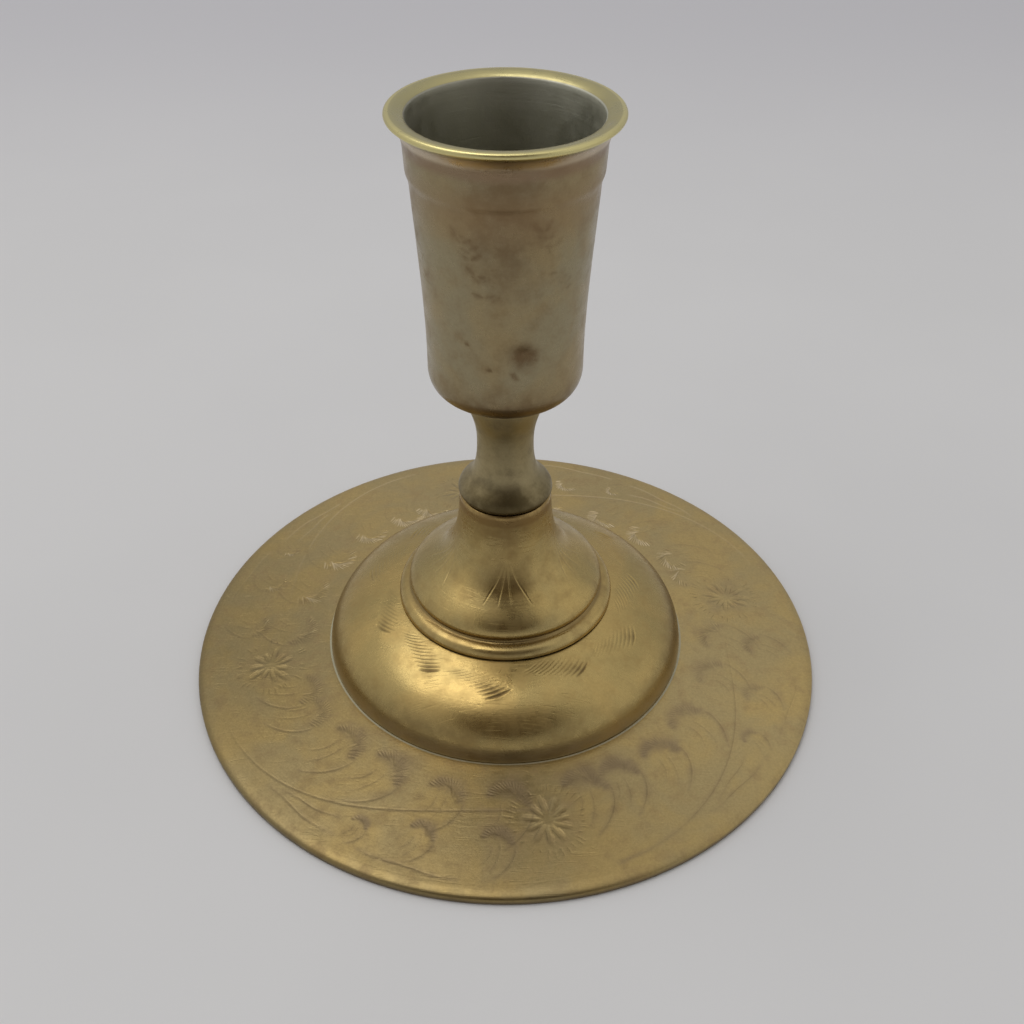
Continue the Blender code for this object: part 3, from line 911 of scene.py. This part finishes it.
def make_cup():
    """The tapered candle cup: flared lip, collar, tapering wall and rounded bottom."""
    top = CUP_TOP
    lip = arc((LIP_RADIUS - 0.45, top - 0.47), 0.45, 85, -65, 14)
    wall_foot = (12.25, 62.0)
    mouth = (13.85, 101.15)
    collar_foot = (13.7, 91.6)
    outline = joined(
        [(15.9, top - 0.02)],
        lip,
        curve(lip[-1], (15.4, 100.2), (14.6, 99.2), (14.42, 97.4), 16),
        line((14.42, 97.4), (14.22, 93.9), 8),
        curve((14.22, 93.9), (14.15, 93.1), (13.78, 92.9), collar_foot, 8),
        curve(collar_foot, (13.0, 81.0), (12.1, 72.0), wall_foot, 60),
        curve(wall_foot, (12.35, 58.6), (10.6, 57.4), (6.7, CUP_FOOT), 26),
        [(4.0, CUP_FOOT), (SCREW_HOLE, CUP_FOOT), (SCREW_HOLE, CUP_FOOT + 0.35)],
        [(4.3, CUP_FLOOR - 0.05), (4.3, CUP_FLOOR)],
        line((4.3, CUP_FLOOR), (6.6, CUP_FLOOR), 4),
        curve((6.6, CUP_FLOOR), (9.0, CUP_FLOOR + 0.2), (10.7, 60.2), (10.95, 63.0), 18),
        curve((10.95, 63.0), (11.1, 70.0), (11.8, 81.0), (13.35, 97.0), 40),
        line((13.35, 97.0), mouth, 6),
        curve(mouth, (13.95, 101.5), (14.7, 101.8), (15.6, top - 0.03), 10))
    relief = Relief(run_to(outline, collar_foot), 29.4, [13.7, 13.2, 12.8, 12.5, 12.3])
    dice = np.random.default_rng(31)
    for i in range(7):
        engrave_spray(Motif(relief, 198 + i * 360 / 7, 6.6 + dice.uniform(-1, 1)), dice)
    dent_angle = 282.7
    dent_height = 69.6
    dent_depth = 0.5
    wall_radius = 12.5      # at the dent
    down = collar_foot[1] - dent_height
    relief.stain([(dent_angle - 2, down), (dent_angle + 2, down)], 3.6, 1.0, taper=0)
    for angle, height, width in ((275.7, 66.7, 1.3), (277.5, 66.2, 1.0), (258.6, 67.6, 0.9),
                                 (243.0, 71.5, 0.9), (290.5, 69.0, 1.5)):
        down = collar_foot[1] - height
        relief.stain([(angle - 1.5, down), (angle + 1.5, down + 0.3)], width, 0.7)
    length = run_to(outline, outline[-1])
    outside_end = run_to(outline, (6.7, CUP_FOOT)) / length
    lining = (run_to(outline, (4.3, CUP_FLOOR)) / length, run_to(outline, mouth) / length)

    def dented(at):
        around = np.angle(np.exp(1j * (at.angle - math.radians(dent_angle)))) * wall_radius
        away = np.hypot(around / 1.7, (at.height - dent_height) / 1.8)
        dent = -dent_depth * np.exp(-away ** 2) * (at.share < outside_end) * (at.radius > 10)
        return dent + wander(at, 17, 0.02)

    # Painted shade: a dark reflection on the wall where it faces the front; the foot is also darker
    # all round.
    def front_shade_and_dark_foot(at):
        foot = 0.6 * ramp(at.height, 66, 58)
        upper = ramp(at.height, 76, 88) * ramp(at.height, 99, 97)
        front = in_front(at.angle, 0.55) * (0.1 + 0.5 * upper + 0.3 * foot)
        return (foot + front) * (at.share < outside_end)

    def inside(at):
        return (at.share >= lining[0]) & (at.share <= lining[1])

    material = brass("cup_brass", gold=(0.355, 0.275, 0.145), olive=(0.33, 0.28, 0.17),
                     brown=(0.265, 0.185, 0.095), roughness=0.31, wall_radius=13.0,
                     scratch=0.15, stain_and_shade=(0.18, 0.12, 0.062), groove=(0.13, 0.10, 0.055),
                     uneven=0.04, speck=0.04, extra=cup_tones)
    turned("candle_cup", outline, 220, "top", "cup_brass", material, relief=relief,
           shape=dented, darken=front_shade_and_dark_foot, mark=inside)


def engrave_spray(motif, dice):
    """A faint worn spray of leaves: short lens cuts on both sides of a leaning stem."""
    stem = np.array(curve((-2.0, -4.5), (0.4, -2.0), (0.2, 2.0), (2.4, 5.5), 10))
    for point in stem:
        x, y = point + dice.uniform(-0.3, 0.3, 2)
        for side in (-1, 1):
            if dice.random() < 0.3:
                continue
            tip = (x + side * dice.uniform(1.0, 1.9), y - dice.uniform(-0.4, 1.4))
            leaf = [(x + 0.3 * side, y), tip]
            motif.cut(leaf, dice.uniform(0.4, 0.7), 0.03, dirt=dice.uniform(0.1, 0.3))
            motif.stain(leaf, 1.1, dice.uniform(0.1, 0.32))


def cup_tones(nodes, colour, rough, radius, height):
    """Grey-green inside with painted light on its right side, a yellow lip with a painted
    highlight on its rolled edge, painted shade round the collar step, and bands of heat tint under
    the lip.
    """
    def down(start, end):
        """0 at one distance below the cup's top and 1 at another, in millimetres."""
        return nodes.spread(height, (CUP_TOP - start) * MM, (CUP_TOP - end) * MM)

    # The first band, round the collar step, is painted shade; the other two are heat tint.
    for low, high, strength, tint in (((17.0, 9.5), (4.0, 9.0), 0.4, (0.30, 0.195, 0.10)),
                                      ((3.5, 2.7), (1.0, 1.6), 0.8, (0.56, 0.45, 0.31)),
                                      ((5.5, 4.0), (2.5, 3.5), 0.6, (0.26, 0.165, 0.105))):
        band = nodes.times(down(*low), down(*high))
        colour = nodes.mix(nodes.times(band, strength), colour, tint)
    inside = nodes.attribute("mark")
    # The lining is painted lighter towards its right side: painted light falling into the cup.
    right = nodes.spread(nodes.part(nodes.space(), "X"), 0.0, 11 * MM)
    lining = nodes.mix(right, (0.41, 0.40, 0.325), (0.62, 0.62, 0.52))
    colour = nodes.mix(nodes.times(inside, 0.96), colour, lining)
    lip = nodes.times(down(1.4, 1.0), nodes.minus(1.0, inside))
    colour = nodes.mix(nodes.times(lip, 0.85), colour, (0.51, 0.46, 0.225))
    # A paler band along the lip's rolled edge: painted highlight.
    rolled = nodes.times(lip, nodes.spread(nodes.attribute("edge"), 0.15, 0.7))
    rolled = nodes.times(rolled, nodes.spread(radius, 15.0 * MM, 16.2 * MM))
    colour = nodes.mix(rolled, colour, (0.70, 0.62, 0.29))
    rough = nodes.plus(rough, nodes.times(inside, 0.17), clamp=True)
    return colour, rough, 1.0


def thread(radius, pitch, low, high):
    """A cut thread between two heights, as a shape for turned()."""
    depth = 0.54 * pitch

    def cut(at):
        wave = (at.height / pitch - at.angle / FULL_TURN) % 1.0
        crest = ramp(np.abs(wave - 0.5), 0.5, 0.06)
        fade = ramp(at.height, low, low + 0.4) * ramp(at.height, high, high - 0.4)
        return -depth * (1 - crest) * fade * (at.radius > radius - 0.02)
    return cut


def make_stud():
    """The threaded tie stud."""
    chamfer = 0.5
    steps = int((STUD_TOP - STUD_FOOT) / STUD_PITCH * 9)
    outline = joined(
        [(0.0, STUD_TOP), (STUD_RADIUS - chamfer, STUD_TOP)],
        line((STUD_RADIUS, STUD_TOP - chamfer), (STUD_RADIUS, STUD_FOOT + chamfer), steps),
        [(STUD_RADIUS - chamfer, STUD_FOOT), (0.0, STUD_FOOT)])
    material = brass("stud_brass", gold=(0.66, 0.53, 0.27), olive=(0.55, 0.45, 0.24),
                     brown=(0.30, 0.22, 0.11), roughness=0.3, wall_radius=2.5, rings=0.2,
                     scratch=0.2, rub=0.5, uneven=0.15, speck=0.1)
    turned("tie_stud", outline, 48, "stud", "stud_brass", material, closed=False, sharp=75,
           shape=thread(STUD_RADIUS, STUD_PITCH, STUD_FOOT, STUD_TOP))


def make_washer(steel):
    """The flat washer, with softly rolled edges."""
    roll = 0.25
    outer, inner = WASHER_RADIUS - roll, STUD_HOLE + roll
    low, high = WASHER_FOOT + roll, WASHER_TOP - roll
    outline = joined(
        arc((outer, high), roll, 90, 0, 4),
        arc((outer, low), roll, 0, -90, 4),
        line((outer, WASHER_FOOT), (inner, WASHER_FOOT), 4),
        arc((inner, low), roll, 270, 180, 4),
        arc((inner, high), roll, 180, 90, 4))
    turned("base_washer", outline, 96, "foot", "zinc_steel", steel)


def make_screw():
    """The countersunk cup screw with its slot and thread."""
    rim = SCREW_TOP - 0.15
    foot = CUP_FOOT + 0.35
    steps = int((foot - SCREW_TIP) / SCREW_PITCH * 9)
    outline = joined(
        line((0.0, SCREW_TOP), (HEAD_RADIUS - 0.08, SCREW_TOP), 4),
        [(HEAD_RADIUS, SCREW_TOP - 0.06), (HEAD_RADIUS, rim), (SCREW_RADIUS, foot)],
        line((SCREW_RADIUS, foot), (SCREW_RADIUS, SCREW_TIP + 0.5), steps),
        [(SCREW_RADIUS - 0.5, SCREW_TIP), (0.0, SCREW_TIP)])
    material = brass("screw_brass", gold=(0.50, 0.40, 0.21), olive=(0.38, 0.32, 0.18),
                     brown=(0.20, 0.15, 0.08), roughness=0.36, wall_radius=3.0, tarnish=0.6,
                     rings=0.4, scratch=0.4, rub=0.5, uneven=0.15, speck=0.1)
    screw = turned("cup_screw", outline, 72, "top", "screw_brass", material, closed=False,
                   sharp=75, shape=thread(SCREW_RADIUS, SCREW_PITCH, SCREW_TIP, foot - 0.3))
    bpy.ops.mesh.primitive_cube_add(size=1.0, location=(0, 0, SCREW_TOP * MM))
    slot = bpy.context.object
    slot.scale = (3 * HEAD_RADIUS * MM, 1.0 * MM, 1.8 * MM)
    boolean = screw.modifiers.new("slot", "BOOLEAN")
    boolean.object = slot
    boolean.solver = "EXACT"
    graph = bpy.context.evaluated_depsgraph_get()
    screw.data = bpy.data.meshes.new_from_object(screw.evaluated_get(graph))
    screw.modifiers.clear()
    bpy.data.objects.remove(slot)


def make_nut(steel):
    """The hexagon nut: each column's outline meets the flats under a conical chamfer."""
    columns = 96
    slope = math.tan(math.radians(30))
    face = NUT_HALF - 0.2       # radius of the flat end inside the chamfer
    mesh = bmesh.new()
    rings = []
    for column in range(columns):
        angle = column / columns * FULL_TURN
        side = NUT_HALF / math.cos((angle + math.pi / 6) % (math.pi / 3) - math.pi / 6)
        drop = (side - face) * slope
        outline = [(face, NUT_TOP), (side, NUT_TOP - drop), (side, NUT_FOOT + drop),
                   (face, NUT_FOOT), (STUD_HOLE + 0.3, NUT_FOOT), (STUD_HOLE, NUT_FOOT + 0.3),
                   (STUD_HOLE, NUT_TOP - 0.3), (STUD_HOLE + 0.3, NUT_TOP)]
        rings.append([mesh.verts.new((r * math.cos(angle) * MM, r * math.sin(angle) * MM, z * MM))
                      for r, z in outline])
    for here, after in zip(rings, rings[1:] + rings[:1]):
        for i in range(len(here)):
            j = (i + 1) % len(here)
            mesh.faces.new((here[i], here[j], after[j], after[i]))
    bmesh.ops.recalc_face_normals(mesh, faces=mesh.faces)
    data = bpy.data.meshes.new("base_nut_fine")
    mesh.to_mesh(data)
    mesh.free()
    data.shade_smooth()
    data.set_sharp_from_angle(angle=math.radians(20))
    place(bpy.data.objects.new("base_nut_fine", data), "base_nut", "foot", "zinc_steel", steel)


def zinc_steel():
    """Zinc-plated steel: cool grey with a faint yellow cast, dull spots and fine grain."""
    material, nodes = new_material("zinc_steel")
    space = nodes.space()
    broad = nodes.noise(space, 300.0, detail=4.0)
    grain = nodes.noise(space, 3500.0, detail=2.0)
    colour = nodes.mix(nodes.spread(broad, 0.4, 0.65), (0.56, 0.56, 0.55), (0.42, 0.39, 0.33))
    rough = nodes.spread(broad, 0.35, 0.7, 0.3, 0.5)
    nodes.feed("Principled BSDF", {"Base Color": colour, "Roughness": rough, "Metallic": 1.0,
                                   "Normal": nodes.bump(grain, 0.3, 0.05 * MM)})
    return material


# ---- stage, light and camera

def make_floor():
    """A wide pale floor, with painted shade making it a little darker far behind the object."""
    bpy.ops.mesh.primitive_circle_add(vertices=96, radius=4.0, fill_type="NGON", location=(0, 0, 0))
    floor = bpy.context.object
    floor.name = "floor"
    material, nodes = new_material("pale_floor")
    space = nodes.space()
    cloud = nodes.noise(space, 9.0, detail=3.0)
    colour = nodes.mix(nodes.spread(cloud, 0.35, 0.65), (0.72, 0.725, 0.735), (0.74, 0.745, 0.755))
    # Painted shade: darker far behind the object, where less light falls.
    far = nodes.spread(nodes.part(space, "Y"), 0.12, 0.42)
    colour = nodes.mix(far, colour, (0.62, 0.62, 0.655))
    nodes.feed("Principled BSDF", {"Base Color": colour, "Roughness": 0.6})
    floor.data.materials.append(material)


def make_world():
    """Pale light all round, a bit brighter at both sides and dark where the viewer stands."""
    world = bpy.data.worlds.new("pale_room")
    bpy.context.scene.world = world
    world.use_nodes = True
    nodes = Nodes(world.node_tree)
    way = nodes.add("TexCoord").outputs["Generated"]
    ceiling = nodes.spread(nodes.part(way, "Z"), 0.35, 0.98)
    colour = nodes.mix(ceiling, (0.46, 0.46, 0.475), (0.72, 0.71, 0.70))
    pale, dark = (0.95, 0.93, 0.90), (0.075, 0.054, 0.036)
    for centre, outer, inner, strength, tint in (((-0.92, 0.05, 0.39), 0.75, 0.97, 0.3, pale),
                                                 ((0.96, -0.15, 0.22), 0.75, 0.97, 0.4, pale),
                                                 ((0.05, -0.97, 0.24), 0.70, 0.96, 0.2, dark),
                                                 ((0.03, -0.70, 0.71), 0.79, 0.95, 0.95, dark)):
        near = nodes.spread(nodes.dot(way, centre), outer, inner, 0.0, strength)
        colour = nodes.mix(near, colour, tint)
    nodes.feed("Background", {"Color": colour, "Strength": 1.0})


def make_light():
    """One square soft light overhead, a little to the left, aimed at the object's lower part."""
    light = bpy.data.lights.new("main_light", "AREA")
    light.size = 0.75
    light.energy = 2.65
    light.color = (1.0, 0.97, 0.93)
    lamp = bpy.data.objects.new("main_light", light)
    lamp.location = (-0.32, 0.13, 1.05)
    target = Vector((0.0, 0.0, 0.03))
    lamp.rotation_mode = "QUATERNION"
    lamp.rotation_quaternion = (target - lamp.location).to_track_quat("-Z", "Y")
    link(lamp)


def make_camera():
    """The camera in front and above, fitted to the photo's outlines of plate and lip."""
    data = bpy.data.cameras.new("camera")
    data.lens = 41.68
    data.sensor_width = 36.0
    data.shift_x = 0.0065
    camera = bpy.data.objects.new("camera", data)
    camera.location = (0.0, -2.815 * PLATE_RADIUS * MM, 2.809 * PLATE_RADIUS * MM)
    camera.rotation_euler = (math.radians(90 - 38.77), 0.0, 0.0)
    link(camera)
    bpy.context.scene.camera = camera


make_camera()
make_world()
make_light()
make_floor()
make_plate()
make_dome()
make_bell()
make_neck()
make_cup()
make_stud()
make_screw()
steel = zinc_steel()
make_washer(steel)
make_nut(steel)
bpy.context.scene.view_settings.view_transform = "Standard"
